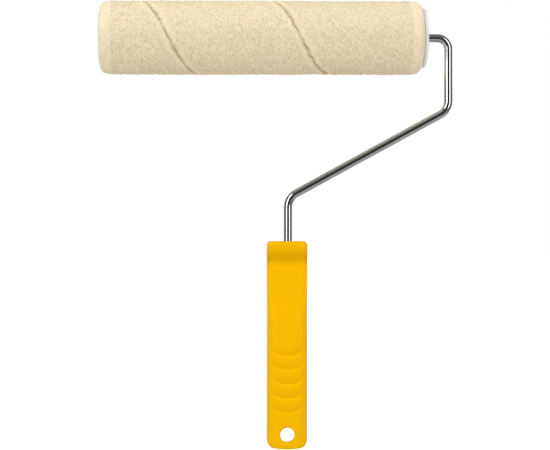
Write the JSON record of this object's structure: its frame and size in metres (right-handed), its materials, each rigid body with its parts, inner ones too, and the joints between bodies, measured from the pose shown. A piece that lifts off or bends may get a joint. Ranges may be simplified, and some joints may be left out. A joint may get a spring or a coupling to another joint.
{
  "type": "paint roller",
  "caption": "Paint roller: a wide soft-pile sleeve slips over a spinning wire cage on a bent rod frame with a moulded grip and hang hole.",
  "frame": {"origin": "centre of the hang hole through the grip, half way through its thickness", "axes": "+Z from the hang hole up to the roller; +X from the grip towards the bent leg of the rod; +Y through the hang hole towards the back of the grip"},
  "size_m": [0.2525, 0.052, 0.3201],
  "materials": {
    "grip_plastic": "semi-gloss moulded polypropylene",
    "rod_steel": "bright plated round bar",
    "fixing_steel": "zinc plated",
    "cap_plastic": "fine matt nylon",
    "bushing_plastic": "smooth acetal",
    "cage_steel": "bright drawn spring wire",
    "core_plastic": "natural polypropylene tube",
    "nap_fabric": "short dense plush pile wound in a spiral strip"
  },
  "bodies": {
    "frame": {"grip": "grip_plastic", "rod": "rod_steel", "outer_push_nut": "fixing_steel", "outer_washer": "fixing_steel", "inner_washer": "fixing_steel", "stop_ring": "fixing_steel"},
    "cage": {"inboard_cap": "cap_plastic", "outboard_cap": "cap_plastic", "spider": "cap_plastic", "inboard_bushing": "bushing_plastic", "outboard_bushing": "bushing_plastic", "cage_wire_1": "cage_steel", "cage_wire_2": "cage_steel", "cage_wire_3": "cage_steel", "cage_wire_4": "cage_steel", "cage_wire_5": "cage_steel"},
    "sleeve": {"sleeve_core": "core_plastic", "nap": "nap_fabric"}
  },
  "joints": [
    {"name": "roller_spin", "type": "hinge", "parent": "frame", "child": "cage", "pos_m": [0, 0, 0.2832], "axis": [1, 0, 0], "continuous": true},
    {"name": "sleeve_slip", "type": "slide", "parent": "cage", "child": "sleeve", "axis": [-1, 0, 0], "range_m": [0, 0.24]}
  ]
}
